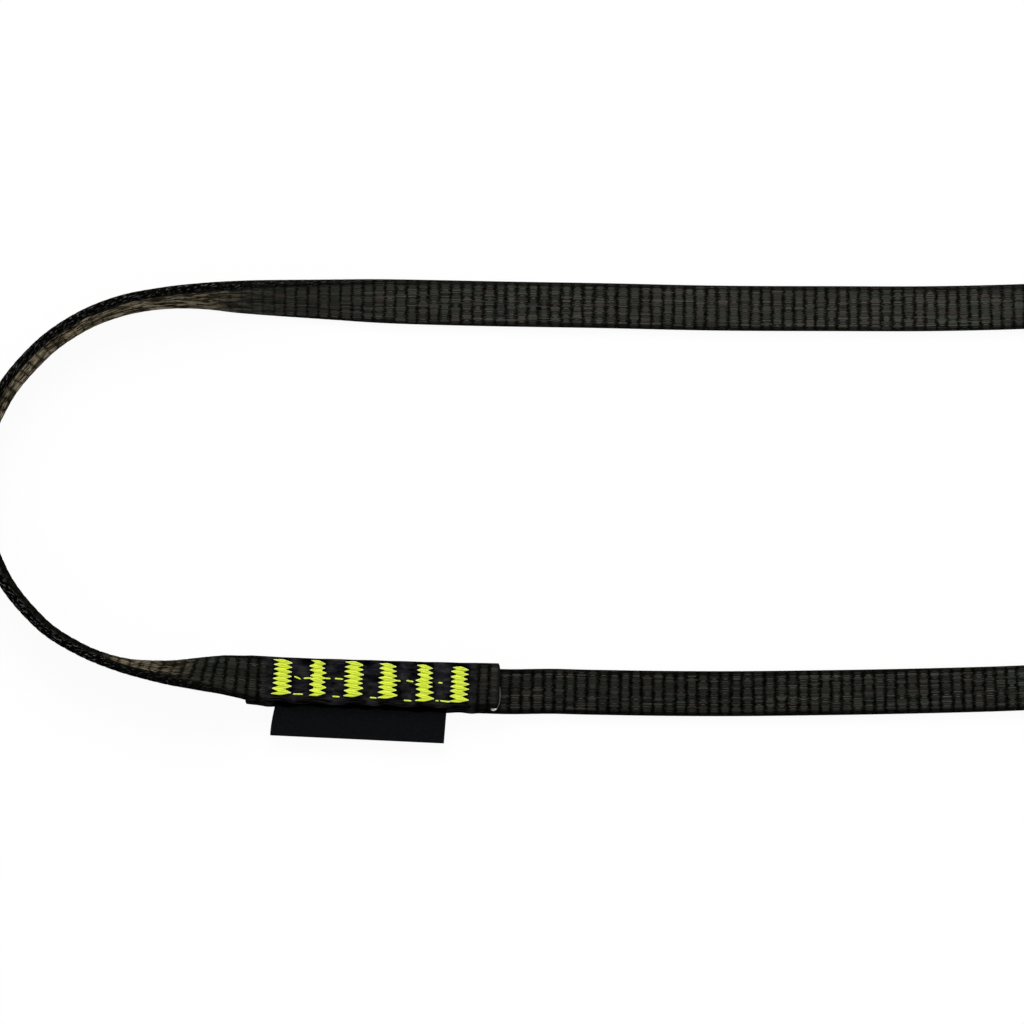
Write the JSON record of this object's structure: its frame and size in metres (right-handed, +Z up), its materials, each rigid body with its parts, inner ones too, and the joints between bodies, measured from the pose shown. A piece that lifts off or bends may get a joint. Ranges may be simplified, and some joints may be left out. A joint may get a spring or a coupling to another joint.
{
  "type": "climbing sling",
  "caption": "Closed loop of flat tubular webbing, lapped and bar-tacked, with a folded side label, lying open with its ends on edge, for linking anchors and carabiners.",
  "frame": {"origin": "centre of the lying loop's bounding box, on the ground", "axes": "+X along the loop, away from the bend next to the seam; +Y across it, from the seamed run to the plain run; +Z up"},
  "size_m": [0.533, 0.1662, 0.0159],
  "materials": {
    "webbing": "matt woven polyester, black with dark grey ribs",
    "tack_thread": "lime polyester sewing thread, soft sheen",
    "label": "dark blue-black woven satin ribbon",
    "clear_thread": "clear to white monofilament"
  },
  "bodies": {
    "sling_loop": {"webbing": "webbing", "needle_tack_1": "tack_thread", "needle_tack_2": "tack_thread", "needle_tack_3": "tack_thread", "needle_tack_4": "tack_thread", "needle_tack_5": "tack_thread", "needle_tack_6": "tack_thread", "bobbin_tack_1": "tack_thread", "bobbin_tack_2": "tack_thread", "bobbin_tack_3": "tack_thread", "bobbin_tack_4": "tack_thread", "bobbin_tack_5": "tack_thread", "bobbin_tack_6": "tack_thread", "middle_travel_stitch_1": "tack_thread", "middle_travel_stitch_2": "tack_thread", "middle_travel_stitch_4": "tack_thread", "middle_travel_stitch_5": "tack_thread", "edge_travel_stitch_1": "tack_thread", "edge_travel_stitch_2": "tack_thread", "edge_travel_stitch_3": "tack_thread", "edge_travel_stitch_4": "tack_thread", "edge_travel_stitch_5": "tack_thread", "thread_end": "clear_thread", "label_sewn_edge": "label"},
    "label": {"label_flap": "label"}
  },
  "joints": [
    {"name": "label_turn", "type": "hinge", "parent": "sling_loop", "child": "label", "pos_m": [-0.12004, -0.07001, 0.00427], "axis": [-0.9992, 0.0403, 0], "range_deg": [0, 90]}
  ]
}
